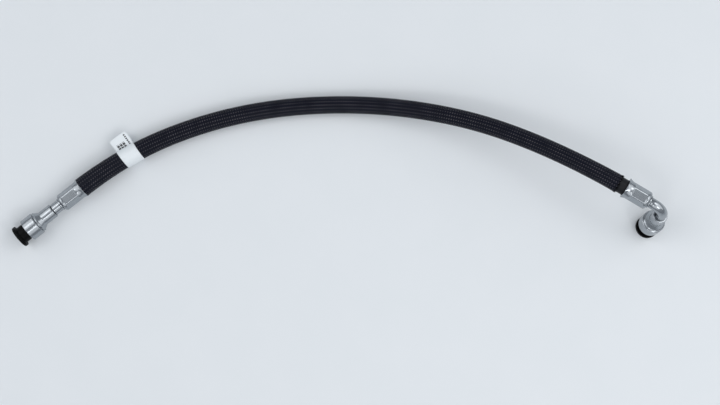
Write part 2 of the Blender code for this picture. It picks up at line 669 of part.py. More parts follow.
def main():
    clear_scene()
    parts = new_collection("fuel_line")
    cutters = new_collection("fuel_line_cutters")
    steel = new_material("plated steel", (0.55, 0.55, 0.53), 0.28, 1.0)
    rubber = new_material("black rubber", (0.012, 0.012, 0.014), 0.55, 0.0)
    braid = new_material("black braid", (0.014, 0.015, 0.022), 0.7, 0.0)
    plastic = new_material("black plastic", (0.008, 0.008, 0.01), 0.4, 0.0)
    film = new_material("white label film", (0.75, 0.77, 0.8), 0.45, 0.0)

    # Straight end, resting on its widest round piece
    up = Vector((0, 0, 1))
    rest_height = max(NUT_FRONT_DIAMETER, CAP_FLANGE_DIAMETER) / 2
    outward = direction(STRAIGHT_AZIMUTH, 0.0)
    straight_rim = on_table(STRAIGHT_RIM, rest_height)
    straight_end = frame_at(straight_rim, outward, up, "straight_end", parts)
    straight_port = frame_at(straight_rim + outward * PORT_START, outward, up, "straight_port", parts)

    # Elbow end, standing tilted on the edge of its cap
    leg = direction(LEG_LEAN_AZIMUTH, LEG_TILT - math.pi / 2)
    rise = math.atan(math.tan(LEG_TILT) * math.cos(LEG_LEAN_AZIMUTH - ELBOW_AZIMUTH))
    run = direction(ELBOW_AZIMUTH, rise)
    face_height = CAP_FLANGE_DIAMETER / 2 * math.sin(LEG_TILT)
    corner = on_table(ELBOW_CORNER, face_height + LEG_LENGTH * math.cos(LEG_TILT))
    elbow_rim = corner - run * ELBOW_RUN
    elbow_end = frame_at(elbow_rim, run, -leg, "elbow_end", parts)
    elbow_port = frame_at(corner + leg * LEG_TO_NUT, leg, -run, "elbow_port", parts)
    bpy.context.view_layer.update()

    knots = [straight_rim] + [on_table(point, point.z) for point in HOSE_ROUTE] + [elbow_rim]
    route = Route(knots, -outward, run)
    hose(route, straight_end.matrix_world, elbow_end.matrix_world, rubber, parts, cutters)
    braided_sleeve(route, braid, parts, cutters)
    label(route, film, parts, cutters)

    ferrule("straight_ferrule", steel, parts, cutters, straight_end)
    ferrule("elbow_ferrule", steel, parts, cutters, elbow_end)
    straight_nipple(steel, parts, straight_end)
    elbow_nipple(steel, parts, elbow_end)
    elbow_pipe(elbow_end.matrix_world, elbow_port.matrix_world, corner, steel, parts, cutters)
    port_pieces("straight", straight_port, steel, rubber, plastic, parts)
    port_pieces("elbow", elbow_port, steel, rubber, plastic, parts)


main()
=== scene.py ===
"""Flexible fuel line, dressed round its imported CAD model.

The hose lies on a pale table in the arch of the photograph. Its braid is laid yarn by yarn on the
same centre line as the CAD solids, and every fitting is turned, bent or crimped afresh with finer
edges round the same axes and sizes. Lengths are metres throughout.
"""
import json
import math

import bmesh
import bpy
import numpy as np
from bpy.props import FloatProperty, FloatVectorProperty, IntProperty, PointerProperty
from mathutils import Matrix, Vector


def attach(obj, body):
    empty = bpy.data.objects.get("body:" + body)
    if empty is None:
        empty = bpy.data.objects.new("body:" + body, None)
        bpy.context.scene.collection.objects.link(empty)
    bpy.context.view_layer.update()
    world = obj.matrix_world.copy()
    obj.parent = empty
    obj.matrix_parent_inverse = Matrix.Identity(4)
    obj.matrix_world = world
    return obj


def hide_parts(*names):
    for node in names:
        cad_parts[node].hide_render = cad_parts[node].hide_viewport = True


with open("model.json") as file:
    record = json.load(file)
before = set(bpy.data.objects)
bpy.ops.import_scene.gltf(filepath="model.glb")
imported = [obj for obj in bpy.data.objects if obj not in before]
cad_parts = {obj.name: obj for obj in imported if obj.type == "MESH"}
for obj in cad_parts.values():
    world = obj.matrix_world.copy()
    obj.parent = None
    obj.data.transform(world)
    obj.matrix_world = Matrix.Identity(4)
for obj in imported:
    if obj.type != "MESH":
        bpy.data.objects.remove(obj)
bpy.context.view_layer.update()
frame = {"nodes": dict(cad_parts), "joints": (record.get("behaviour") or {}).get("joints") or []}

bl_info = {
    "name": "Fuel Line",
    "version": (1, 0, 0),
    "blender": (4, 5, 0),
    "location": "View3D > Sidebar > Fuel Line",
    "description": "Braided fuel line with a straight and an elbow swivel end",
    "category": "Object",
}

# Layout, as in the part's source
PART_CENTRE = Vector((-0.02589, -0.01168, 0.0))
ELBOW_AZIMUTH = math.radians(-30.7)
LEG_TILT = math.radians(17.8)
LEG_LEAN_AZIMUTH = math.radians(243.0)
HOSE_ROUTE = [
    Vector((-0.2850, 0.0400, 0.0123)),
    Vector((-0.2455, 0.0628, 0.0114)),
    Vector((-0.1950, 0.0838, 0.0106)),
    Vector((-0.1425, 0.0988, 0.0104)),
    Vector((-0.0885, 0.1079, 0.0102)),
    Vector((-0.0300, 0.1115, 0.0108)),
    Vector((0.0300, 0.1091, 0.0168)),
    Vector((0.0840, 0.1014, 0.0266)),
    Vector((0.1360, 0.0886, 0.0384)),
    Vector((0.1860, 0.0704, 0.0502)),
    Vector((0.2320, 0.0494, 0.0597)),
    Vector((0.2680, 0.0306, 0.0659)),
]
ROUTE_STEPS = 40

# Fits
CLEARANCE = 0.0003
SWIVEL_CLEARANCE = 0.00035

# Hose, sleeve and ferrule
CRIMPED_SHARE = 0.9             # the hose's radius inside a ferrule, as a share of its free radius
CRIMP_LEAD = 0.0045
SLEEVE_RADIUS = 0.0099
LAYER_SHARE = 0.8               # how far a yarn drops under a crossing, as a share of its thickness
SLEEVE_BULGE = 0.00165
BULGE_REACH = 0.110
SLEEVE_FLARE = 0.0004
FLARE_REACH = 0.025
BARE_HOSE = 0.0100
FERRULE_LENGTH = 0.0295
FERRULE_RIM = 0.0121
FERRULE_FLARE_LENGTH = 0.0064
FERRULE_WALL = 0.0020
CRIMP_RADIUS = 0.0104
CRIMP_FLAT = 0.00935            # from the axis to the middle of a flat
CRIMP_START = 0.0068
CRIMP_END = 0.0264
CRIMP_RUNOUT = 0.0018           # slope at both ends of a flat
CRIMP_LIFT = 0.0018             # how far a flat stands off at the outer end of its slope
CRIMP_BLEND = 0.00008           # softness of a flat's long edges
CRIMP_FLATS = 6
NOSE_RADIUS = 0.0028
NOSE_FACE = 0.0005              # depth of the nose's face, which takes no flats
RIM_EDGE = 0.0006               # height at which the rim's rounding ends
# Rounding of the rim: steps outwards from the wall's inside and outside, with their heights
RIM_INSIDE = [(0.0002, 0.0001), (0.0006, 0.0)]
RIM_OUTSIDE = [(-0.0007, 0.0), (-0.0002, 0.0001), (-0.00002, 0.0003)]

# Loose filaments at the sleeve's cut end; each pair is a least value and what chance can add
FILAMENT_RADIUS = 0.00009
FILAMENTS_PER_YARN = 5
FRAY_ROOT = 0.0012              # how far back in the sleeve a filament starts
FRAY_DEPTH = 0.00025            # how far under the sleeve's outside it starts
FRAY_REACH = (0.0008, 0.0022)
FRAY_LIFT = (-0.0002, 0.0008)
FRAY_DRIFT = (0.6, 0.8)         # share of the yarn's own slant

# Stems and pipe
TAIL_RADIUS = 0.0043
TAIL_START = 0.0025
BARB_COUNT = 4
BARB_PITCH = 0.0056
BARB_RAMP = 0.0045
BARB_CREST = 0.0005
BARB_DEPTH = 0.0005
NECK_RADIUS = 0.00675
NIPPLE_BORE = 0.0032
COLLAR_RADIUS = 0.0074
COLLAR_LENGTH = 0.0014
COLLAR_SLOPE = 0.0006           # length of the slope from the collar down to the neck
COLLAR_FILLET = 0.0005
NECK_EXPOSED = 0.0102
PIPE_RADIUS = 0.0060
PIPE_WALL = 0.0015
BEND_RADIUS = 0.0152
BRAZE_SOCKET = 0.0027
COLLAR_TO_BEND = 0.0053
BEND_TO_NUT = 0.0026
PIPE_IN_HEAD = 0.0283
BRAZE_FILLET = 0.0007
BRAZE_ROUNDING = 0.0004

# Swivel nut and dust plug, from the nut's tail
NUT_TAIL_RADIUS = 0.0083
NUT_TAIL_LENGTH = 0.0154
NUT_TAIL_ROUNDING = 0.0010
NUT_TAIL_FILLET = 0.0012
NUT_SHOULDER_RADIUS = 0.0122
NUT_SHOULDER_LENGTH = 0.0063
NUT_SHOULDER_LAND = 0.0009      # full width of the shoulder beside the groove
NUT_LIP_RISE = 0.0010           # steeper slope at the shoulder's outer edge
NUT_LIP_LENGTH = 0.0007
NUT_LIP_FILLET = 0.0010
NUT_LIP_ROUNDING = 0.0005
NUT_GROOVE_WIDTH = 0.0010
NUT_GROOVE_DEPTH = 0.0009
NUT_GROOVE_EDGE = 0.00015
NUT_FRONT_RADIUS = 0.0133
NUT_FRONT_LENGTH = 0.0148
NUT_FRONT_CHAMFER = 0.0008
NUT_THREAD_RADIUS = 0.0102
NUT_MOUTH_CHAMFER = 0.0008
NUT_BORE_EDGE = 0.0002
NUT_SEAT_START = 0.0176
CAP_INSERT = 0.0070
CAP_PLUG_LENGTH = 0.0092
CAP_WALL = 0.0015
CAP_FLANGE_RADIUS = 0.0129
CAP_FLANGE_THICKNESS = 0.0036
CAP_FACE_ROUNDING = 0.0009
CAP_FLANGE_ROUNDING = 0.0006
CAP_FILLET = 0.0004
CAP_LEAD = 0.0012               # length of the taper at the plug's inner end
CAP_TAPER = 0.0006
CAP_EDGE = 0.0003

# Label
LABEL_STATION = 0.067
LABEL_REACH = 0.0267
LABEL_EASE = 0.0003
LABEL_FILLET = 0.0030
LABEL_CORNER = 0.0030
LABEL_SKEW = math.radians(7.0)
# Print on the film. Each row names a result and gives its operation and operands. "along" and
# "across" are the film's UV map in metres. COMPARE gives 1 where its first operand is no further
# from its second than its third says.
PRINT_STEPS = [
    # Block of squares beside the hose, 8 mm along the film and 10 mm across, in cells of 3.4 mm
    ("block_length", "COMPARE", "along", 0.0131, 0.0040),
    ("block_width", "COMPARE", "across", -0.0022, 0.0050),
    ("block", "MULTIPLY", "block_length", "block_width"),
    ("column", "DIVIDE", "along", 0.0034),
    ("column_share", "FRACT", "column"),
    ("column_ink", "LESS_THAN", "column_share", 0.8),
    ("columns", "MULTIPLY", "block", "column_ink"),
    ("row", "DIVIDE", "across", 0.0034),
    ("row_share", "FRACT", "row"),
    ("row_ink", "LESS_THAN", "row_share", 0.8),
    ("squares", "MULTIPLY", "columns", "row_ink"),
    # Line of bars beside the flag's edge, 14 mm long and 1.8 mm high, with a bar every 2.3 mm
    ("line_length", "COMPARE", "along", 0.0092, 0.0069),
    ("line_height", "COMPARE", "across", 0.0068, 0.0009),
    ("line", "MULTIPLY", "line_length", "line_height"),
    ("beat", "DIVIDE", "along", 0.0023),
    ("beat_share", "FRACT", "beat"),
    ("bar_ink", "LESS_THAN", "beat_share", 0.68),
    ("bars", "MULTIPLY", "line", "bar_ink"),
    ("print", "MAXIMUM", "squares", "bars"),
]

# Worked out from the sizes above
COLLAR_START = FERRULE_LENGTH + CLEARANCE
COLLAR_END = COLLAR_START + COLLAR_LENGTH
PORT_START = COLLAR_END + NECK_EXPOSED
HOSE_END = FERRULE_LENGTH - FERRULE_WALL - CLEARANCE
NUT_BORE_RADIUS = PIPE_RADIUS + SWIVEL_CLEARANCE / 2
NUT_GROOVE_START = NUT_TAIL_LENGTH + NUT_SHOULDER_LENGTH
NUT_FRONT_START = NUT_GROOVE_START + NUT_GROOVE_WIDTH
NUT_LENGTH = NUT_FRONT_START + NUT_FRONT_LENGTH
CAP_PLUG_RADIUS = NUT_THREAD_RADIUS - CLEARANCE
CAP_FLANGE_START = NUT_LENGTH + CAP_PLUG_LENGTH
CAP_FACE = CAP_FLANGE_START + CAP_FLANGE_THICKNESS
ELBOW_RUN = COLLAR_END + COLLAR_TO_BEND + BEND_RADIUS

# Stage
TABLE_RADIUS = 12.0
SKY_STRENGTH = 0.48
# Lamps: name, place, width and power in watts; all face the middle of the table
LAMPS = [
    ("broad_lamp_left", (-1.6, 0.35, 1.6), 2.2, 16.0),
    ("broad_lamp_right", (1.6, 0.35, 1.6), 2.2, 16.0),
    ("broad_lamp_front", (0.0, -1.3, 1.6), 1.5, 5.5),
    ("key_lamp_left", (-1.1, 0.65, 1.65), 0.45, 1.3),
    ("key_lamp_right", (1.1, 0.65, 1.65), 0.6, 2.2),
    ("front_lamp_left", (-0.1, -0.76, 1.7), 0.3, 1.1),
    ("front_lamp_right", (0.95, -0.75, 1.5), 0.5, 4.0),
]

# Fineness
FILLET_STEPS = 4
SUPPORT_ROW = 0.00012           # a row beside each rounding keeps long faces from shading like it
CRIMP_ROW = 0.0005
RIM_ROWS = 12
NOSE_STEPS = 8
PIPE_SIDES = 64
BEND_STEPS = 28
HOSE_POINT_STEP = 4             # the hose takes every fourth point of the centre line
HOSE_ROUNDNESS = 14
YARN_SIDES = 6
FILAMENT_POINTS = 5
LABEL_FLAG_STEPS = 24
LABEL_FILLET_STEPS = 10
LABEL_WRAP_STEPS = 48
LABEL_ROWS = 16
MERGE_DISTANCE = 0.000002


def linear(code):
    """Linear RGBA of an sRGB hex code."""
    channels = [int(code[start:start + 2], 16) / 255 for start in (1, 3, 5)]
    bright = [c / 12.92 if c <= 0.04045 else ((c + 0.055) / 1.055) ** 2.4 for c in channels]
    return (*bright, 1.0)


# Places of the fittings and the hose's centre line


def direction(azimuth, elevation):
    flat = math.cos(elevation)
    return Vector((math.cos(azimuth) * flat, math.sin(azimuth) * flat, math.sin(elevation)))


def place_at(origin, z_axis, x_axis):
    side = z_axis.cross(x_axis).normalized()
    turn = Matrix((side.cross(z_axis), side, z_axis)).transposed().to_4x4()
    return Matrix.Translation(origin) @ turn


def joint_place(name, x_axis):
    """Place of a swivel nut's tail, from the joint that it turns on."""
    joint = next(joint for joint in frame["joints"] if joint["name"] == name)
    return place_at(Vector(joint["pos_m"]), Vector(joint["axis"]), x_axis)


STRAIGHT_PORT = joint_place("straight_nut_spin", Vector((0, 0, 1)))
STRAIGHT_END = STRAIGHT_PORT @ Matrix.Translation((0, 0, -PORT_START))
LEG_RISE = math.atan(math.tan(LEG_TILT) * math.cos(LEG_LEAN_AZIMUTH - ELBOW_AZIMUTH))
HOSE_RUN = direction(ELBOW_AZIMUTH, LEG_RISE)
ELBOW_PORT = joint_place("elbow_nut_spin", -HOSE_RUN)
ELBOW_CORNER = ELBOW_PORT @ Vector((0, 0, -BEND_RADIUS - BEND_TO_NUT))
ELBOW_LEG = ELBOW_PORT.col[2].to_3d()
# The crimp's upper flat faces straight up, 18 degrees round from the CAD piece's
ELBOW_END = place_at(ELBOW_CORNER - HOSE_RUN * ELBOW_RUN, HOSE_RUN, Vector((0, 0, 1)))


def smooth_curve(points, first_direction, last_direction):
    """Dense points on a cubic spline through points, clamped at both ends."""
    knots = np.array([tuple(point) for point in points])
    gaps = np.linalg.norm(np.diff(knots, axis=0), axis=1)
    count = len(knots)
    matrix = np.eye(count)
    right = np.zeros((count, 3))
    right[0] = first_direction
    right[-1] = last_direction
    for index in range(1, count - 1):
        before = gaps[index - 1]
        after = gaps[index]
        matrix[index, index - 1:index + 2] = (1 / before, 2 / before + 2 / after, 1 / after)
        rise_before = (knots[index] - knots[index - 1]) / before ** 2
        rise_after = (knots[index + 1] - knots[index]) / after ** 2
        right[index] = 3 * (rise_before + rise_after)
    slopes = np.linalg.solve(matrix, right)
    dense = []
    for index, gap in enumerate(gaps):
        for step in np.arange(ROUTE_STEPS) / ROUTE_STEPS:
            near = (1 + 2 * step) * (1 - step) ** 2 * knots[index]
            far = step ** 2 * (3 - 2 * step) * knots[index + 1]
            leave = step * (1 - step) ** 2 * gap * slopes[index]
            arrive = step ** 2 * (step - 1) * gap * slopes[index + 1]
            dense.append(near + far + leave + arrive)
    dense.append(knots[-1])
    return np.array(dense)


class Route:
    """Centre line of the free hose with a level frame at each point, read by distance."""

    def __init__(self, points, first_direction, last_direction):
        self.points = smooth_curve(points, first_direction, last_direction)
        steps = np.linalg.norm(np.diff(self.points, axis=0), axis=1)
        self.distance = np.concatenate([[0.0], np.cumsum(steps)])
        self.length = float(self.distance[-1])
        along = np.gradient(self.points, self.distance, axis=0)
        along /= np.linalg.norm(along, axis=1)[:, None]
        side = np.cross((0.0, 0.0, 1.0), along)
        side /= np.linalg.norm(side, axis=1)[:, None]
        self.table = np.hstack([self.points, side, np.cross(along, side)])

    def over(self, angle, station, radius):
        """Points round the line: angle 0 is its level side and a quarter turn its top."""
        rows = [np.interp(station, self.distance, column) for column in self.table.T]
        point, side, up = np.array(rows).T.reshape(-1, 3, 3).transpose(1, 0, 2)
        outward = np.cos(angle)[:, None] * side + np.sin(angle)[:, None] * up
        return point + radius[:, None] * outward


FREE_KNOTS = [knot - PART_CENTRE for knot in HOSE_ROUTE]
ROUTE = Route(
    [STRAIGHT_END.translation, *FREE_KNOTS, ELBOW_END.translation],
    -STRAIGHT_END.col[2].to_3d(),
    HOSE_RUN,
)
SLEEVE_END = ROUTE.length - BARE_HOSE


def sleeve_radius(station):
    """Outer radius of the sleeve: loose at the straight end, flared at its cut end."""
    bulge = SLEEVE_BULGE * np.exp(-station / BULGE_REACH)
    flare = SLEEVE_FLARE * np.exp((station - SLEEVE_END) / FLARE_REACH)
    return SLEEVE_RADIUS + bulge + flare


# Settings that a user would change


class HoseSettings(bpy.types.PropertyGroup):
    diameter: FloatProperty(
        name="Hose diameter", description="Outside diameter of the rubber hose",
        default=0.018, min=0.012, max=0.0185, unit="LENGTH", precision=4)
    colour: FloatVectorProperty(
        name="Rubber colour", description="Colour of the bare rubber",
        size=4, default=linear("#0a0b10"), subtype="COLOR")


class BraidSettings(bpy.types.PropertyGroup):
    yarns: IntProperty(
        name="Yarns each way",
        description="Yarns in each of the two directions, a multiple of four",
        default=32, min=16, max=48, step=4)
    pick: FloatProperty(
        name="Pick", description="Distance along the hose from one stitch to the next in a rib",
        default=0.0028, min=0.002, max=0.006, unit="LENGTH", precision=4)
    width: FloatProperty(
        name="Yarn width", description="Width of one flat yarn",
        default=0.00152, min=0.0005, max=0.003, unit="LENGTH", precision=5)
    thickness: FloatProperty(
        name="Yarn thickness", description="Thickness of one flat yarn",
        default=0.00050, min=0.0001, max=0.0006, unit="LENGTH", precision=5)
    colour: FloatVectorProperty(
        name="Yarn colour", description="Colour of the polyester yarn",
        size=4, default=linear("#0a0d19"), subtype="COLOR")
    # Colour of the painted highlight: a glint painted on the crowns of the right-hand yarns'
    # stitches
    painted_glint_colour: FloatVectorProperty(
        name="Crown colour",
        description="Colour where the right-hand yarns' stitches are rubbed bright",
        size=4, default=linear("#4c494e"), subtype="COLOR")


class FittingSettings(bpy.types.PropertyGroup):
    sides: IntProperty(
        name="Sides", description="Faces round each turned piece",
        default=144, min=48, max=240, step=12)
    edge: FloatProperty(
        name="Edge rounding", description="Rounding of the turned edges",
        default=0.00035, min=0.0001, max=0.00045, unit="LENGTH", precision=5)
    colour: FloatVectorProperty(
        name="Plating colour", description="Colour of the zinc plating",
        size=4, default=linear("#a9adb1"), subtype="COLOR")


class CapSettings(bpy.types.PropertyGroup):
    colour: FloatVectorProperty(
        name="Plastic colour", description="Colour of the dust plugs",
        size=4, default=linear("#050506"), subtype="COLOR")


class LabelSettings(bpy.types.PropertyGroup):
    width: FloatProperty(
        name="Label width", description="Width of the film along the hose",
        default=0.0214, min=0.01, max=0.03, unit="LENGTH", precision=4)
    film: FloatProperty(
        name="Film thickness", description="Thickness of the film and its glue",
        default=0.0002, min=0.0001, max=0.0003, unit="LENGTH", precision=5)
    colour: FloatVectorProperty(
        name="Film colour", description="Colour of the bare film",
        size=4, default=linear("#e6ebee"), subtype="COLOR")
    ink: FloatVectorProperty(
        name="Ink colour", description="Colour of the plain printed marks",
        size=4, default=linear("#1d1f23"), subtype="COLOR")


class StageSettings(bpy.types.PropertyGroup):
    floor: FloatVectorProperty(
        name="Table colour", description="Colour of the table top",
        size=4, default=linear("#dfe3e6"), subtype="COLOR")
    lens: FloatProperty(
        name="Lens", description="Focal length of the camera in millimetres",
        default=75.0, min=20.0, max=200.0)
    height: FloatProperty(
        name="Camera height", description="Height of the camera above the table",
        default=1.725, min=0.5, max=4.0, unit="LENGTH")


SETTINGS = {
    "fuel_line_hose": HoseSettings,
    "fuel_line_braid": BraidSettings,
    "fuel_line_fittings": FittingSettings,
    "fuel_line_caps": CapSettings,
    "fuel_line_label": LabelSettings,
    "fuel_line_stage": StageSettings,
}


# Materials


def add_node(material, kind, inputs=(), **settings):
    """Adds a node. inputs pairs a socket's name or number with a value or another socket."""
    tree = material.node_tree
    node = tree.nodes.new(kind)
    for name, value in settings.items():
        setattr(node, name, value)
    for socket, value in inputs:
        if isinstance(value, bpy.types.NodeSocket):
            tree.links.new(value, node.inputs[socket])
        else:
            node.inputs[socket].default_value = value
    return node


def new_material(name):
    material = bpy.data.materials.new(name)
    material.use_nodes = True
    material.node_tree.nodes.clear()
    return material


def finish_material(material, inputs):
    """Joins the surface's sockets to a Principled shader and the output."""
    shader = add_node(material, "ShaderNodeBsdfPrincipled", inputs)
    add_node(material, "ShaderNodeOutputMaterial", [("Surface", shader.outputs["BSDF"])])
    return material


def extruded_rubber(colour):
    """Extruded synthetic rubber: nearly black and satin, with the faint grain of its cloth wrap."""
    material = new_material("extruded_rubber")
    place = add_node(material, "ShaderNodeTexCoord").outputs["Object"]
    # Bloom on the rubber comes in patches of about 6 mm
    bloom = add_node(material, "ShaderNodeTexNoise", [
        ("Vector", place), ("Scale", 160.0), ("Detail", 4.0)])
    dull = add_node(material, "ShaderNodeMapRange", [
        ("Value", bloom.outputs[0]), ("To Min", 0.42), ("To Max", 0.6)])
    # Cloth grain of 0.5 mm
    grain = add_node(material, "ShaderNodeTexNoise", [
        ("Vector", place), ("Scale", 2000.0), ("Detail", 2.0)])
    bump = add_node(material, "ShaderNodeBump", [
        ("Height", grain.outputs[0]), ("Strength", 0.5), ("Distance", 0.00006)])
    tone = add_node(material, "ShaderNodeMix", [
        (0, bloom.outputs[0]), (6, colour), (7, linear("#101116"))], data_type="RGBA")
    return finish_material(material, [
        ("Base Color", tone.outputs[2]), ("Roughness", dull.outputs[0]),
        ("Normal", bump.outputs[0]), ("IOR", 1.52), ("Specular IOR Level", 0.25)])


def polyester_yarn(name, colour, painted_glint_colour):
    """Multifilament polyester yarn, dyed black, with a painted highlight on the crowns of the
    stitches.

    Its UV map has the share of a turn round the yarn, and the count of stitches along it.
    """
    material = new_material(name)
    flow = add_node(material, "ShaderNodeUVMap", uv_map="yarn").outputs[0]
    place = add_node(material, "ShaderNodeTexCoord").outputs["Object"]
    # Real filaments are 0.02 mm; they are drawn about 0.15 mm wide so that they can show
    strands = add_node(material, "ShaderNodeMapping", [
        ("Vector", flow), ("Scale", (24.0, 2.6, 1.0))])
    lines = add_node(material, "ShaderNodeTexNoise", [
        ("Vector", strands.outputs[0]), ("Scale", 1.0), ("Detail", 2.0)])
    bump = add_node(material, "ShaderNodeBump", [
        ("Height", lines.outputs[0]), ("Strength", 0.25), ("Distance", 0.00003)])
    # The dye takes a little unevenly, in lengths of about 15 mm; the same noise makes the painted
    # glint uneven
    dye_and_glint_noise = add_node(material, "ShaderNodeTexNoise", [
        ("Vector", place), ("Scale", 70.0), ("Detail", 3.0)])
    tone = add_node(material, "ShaderNodeMix", [
        (0, dye_and_glint_noise.outputs[0]), (6, colour), (7, linear("#0f1322"))], data_type="RGBA")
    # Painted highlight: each stitch is painted brighter over the 1.3 mm at its crown, as a glint
    stitches = add_node(material, "ShaderNodeSeparateXYZ", [(0, flow)]).outputs[1]
    turn = add_node(
        material, "ShaderNodeMath", [(0, stitches), (1, 2 * math.pi)], operation="MULTIPLY")
    wave = add_node(material, "ShaderNodeMath", [(0, turn.outputs[0])], operation="COSINE")
    uneven = add_node(material, "ShaderNodeMapRange", [
        ("Value", dye_and_glint_noise.outputs[0]), ("From Min", 0.35), ("From Max", 0.65), ("To Min", 0.3)])
    painted_glint = add_node(material, "ShaderNodeMapRange", [
        ("Value", wave.outputs[0]), ("From Min", 0.75), ("To Max", uneven.outputs[0])])
    tone = add_node(material, "ShaderNodeMix", [
        (0, painted_glint.outputs[0]), (6, tone.outputs[2]), (7, painted_glint_colour)], data_type="RGBA")
    dull = add_node(material, "ShaderNodeMapRange", [
        ("Value", lines.outputs[0]), ("To Min", 0.2), ("To Max", 0.28)])
    # Light spreads across the filaments, which run along the yarn
    across = add_node(material, "ShaderNodeTangent", direction_type="UV_MAP", uv_map="yarn")
    return finish_material(material, [
        ("Base Color", tone.outputs[2]), ("Roughness", dull.outputs[0]),
        ("Normal", bump.outputs[0]), ("IOR", 1.57), ("Specular IOR Level", 0.13),
        ("Anisotropic", 0.6), ("Tangent", across.outputs[0])])


def plated_steel(name, colour, turned):
    """Zinc plated steel: bright and slightly blue-grey, softened by the plating's fine grain.

    A turned piece keeps the tool's rings, which the plating follows. A pressed or bent one is
    smooth.
    """
    material = new_material(name)
    place = add_node(material, "ShaderNodeTexCoord").outputs["Object"]
    # Passivation clouds of about 7 mm
    cloud = add_node(material, "ShaderNodeTexNoise", [
        ("Vector", place), ("Scale", 140.0), ("Detail", 5.0)])
    tone = add_node(material, "ShaderNodeMix", [
        (0, cloud.outputs[0]), (6, colour), (7, linear("#999ea3"))], data_type="RGBA")
    dull = add_node(material, "ShaderNodeMapRange", [
        ("Value", cloud.outputs[0]), ("From Min", 0.3), ("From Max", 0.7),
        ("To Min", 0.2), ("To Max", 0.26)])
    # Plating grain of 0.3 mm
    grain = add_node(material, "ShaderNodeTexNoise", [
        ("Vector", place), ("Scale", 3300.0), ("Detail", 2.0)])
    grain_bump = add_node(material, "ShaderNodeBump", [
        ("Height", grain.outputs[0]), ("Strength", 0.04), ("Distance", 0.00002)])
    normal = grain_bump.outputs[0]
    if turned:
        # Tool rings every 0.2 mm along the axis
        rings = add_node(material, "ShaderNodeUVMap", uv_map="turning").outputs[0]
        height = add_node(material, "ShaderNodeSeparateXYZ", [(0, rings)]).outputs[1]
        steps = add_node(
            material, "ShaderNodeMath", [(0, height), (1, 5000.0)], operation="MULTIPLY")
        cut = add_node(material, "ShaderNodeTexNoise", [
            ("W", steps.outputs[0]), ("Scale", 1.0), ("Detail", 2.0)], noise_dimensions="1D")
        ring_bump = add_node(material, "ShaderNodeBump", [
            ("Height", cut.outputs[0]), ("Strength", 0.08), ("Distance", 0.00002),
            ("Normal", normal)])
        normal = ring_bump.outputs[0]
    return finish_material(material, [
        ("Base Color", tone.outputs[2]), ("Roughness", dull.outputs[0]),
        ("Normal", normal), ("Metallic", 1.0)])


def moulded_polyethylene(colour):
    """Soft moulded polyethylene: black, waxy satin, with the mould's fine spark grain."""
    material = new_material("moulded_polyethylene")
    place = add_node(material, "ShaderNodeTexCoord").outputs["Object"]
    # Spark grain of 0.4 mm
    grain = add_node(material, "ShaderNodeTexNoise", [
        ("Vector", place), ("Scale", 2500.0), ("Detail", 3.0)])
    bump = add_node(material, "ShaderNodeBump", [
        ("Height", grain.outputs[0]), ("Strength", 0.3), ("Distance", 0.00004)])
    # Scuffs from handling, about 4 mm across
    scuff = add_node(material, "ShaderNodeTexNoise", [
        ("Vector", place), ("Scale", 250.0), ("Detail", 6.0)])
    dull = add_node(material, "ShaderNodeMapRange", [
        ("Value", scuff.outputs[0]), ("From Min", 0.4), ("From Max", 0.7),
        ("To Min", 0.38), ("To Max", 0.55)])
    tone = add_node(material, "ShaderNodeMix", [
        (0, scuff.outputs[0]), (6, colour), (7, linear("#0b0b0c"))], data_type="RGBA")
    return finish_material(material, [
        ("Base Color", tone.outputs[2]), ("Roughness", dull.outputs[0]),
        ("Normal", bump.outputs[0]), ("IOR", 1.51), ("Specular IOR Level", 0.08)])


def nitrile_rubber():
    """Moulded nitrile rubber of the seal rings: deep black and smooth."""
    material = new_material("nitrile_rubber")
    place = add_node(material, "ShaderNodeTexCoord").outputs["Object"]
    # Release film on the rubber in spots of about 2 mm
    spots = add_node(material, "ShaderNodeTexNoise", [("Vector", place), ("Scale", 500.0)])
    dull = add_node(material, "ShaderNodeMapRange", [
        ("Value", spots.outputs[0]), ("To Min", 0.35), ("To Max", 0.5)])
    return finish_material(material, [
        ("Base Color", linear("#141415")), ("Roughness", dull.outputs[0]), ("IOR", 1.52)])


def printed_film(colour, ink):
    """White polyester label film: satin, with thermal print in plain blocks and bars.

    Its UV map is in metres: along the film from the flag's tip, and across it from its middle.
    """
    material = new_material("printed_film")
    flat = add_node(material, "ShaderNodeUVMap", uv_map="film").outputs[0]
    split = add_node(material, "ShaderNodeSeparateXYZ", [(0, flat)])
    results = {"along": split.outputs[0], "across": split.outputs[1]}
    for name, operation, *operands in PRINT_STEPS:
        inputs = [(index, results.get(value, value)) for index, value in enumerate(operands)]
        results[name] = add_node(
            material, "ShaderNodeMath", inputs, operation=operation).outputs[0]
    # Ink thins out in specks of 0.4 mm
    specks = add_node(material, "ShaderNodeTexNoise", [("Vector", flat), ("Scale", 2500.0)])
    cover = add_node(material, "ShaderNodeMapRange", [
        ("Value", specks.outputs[0]), ("From Min", 0.25), ("From Max", 0.45), ("To Min", 0.6)])
    inked = add_node(material, "ShaderNodeMath", [
        (0, results["print"]), (1, cover.outputs[0])], operation="MULTIPLY")
    tone = add_node(material, "ShaderNodeMix", [
        (0, inked.outputs[0]), (6, colour), (7, ink)], data_type="RGBA")
    # The film is not quite flat: ripples of about 5 mm
    place = add_node(material, "ShaderNodeTexCoord").outputs["Object"]
    ripple = add_node(material, "ShaderNodeTexNoise", [("Vector", place), ("Scale", 200.0)])
    bump = add_node(material, "ShaderNodeBump", [
        ("Height", ripple.outputs[0]), ("Strength", 0.4), ("Distance", 0.0002)])
    return finish_material(material, [
        ("Base Color", tone.outputs[2]), ("Roughness", 0.38),
        ("Normal", bump.outputs[0]), ("IOR", 1.57)])


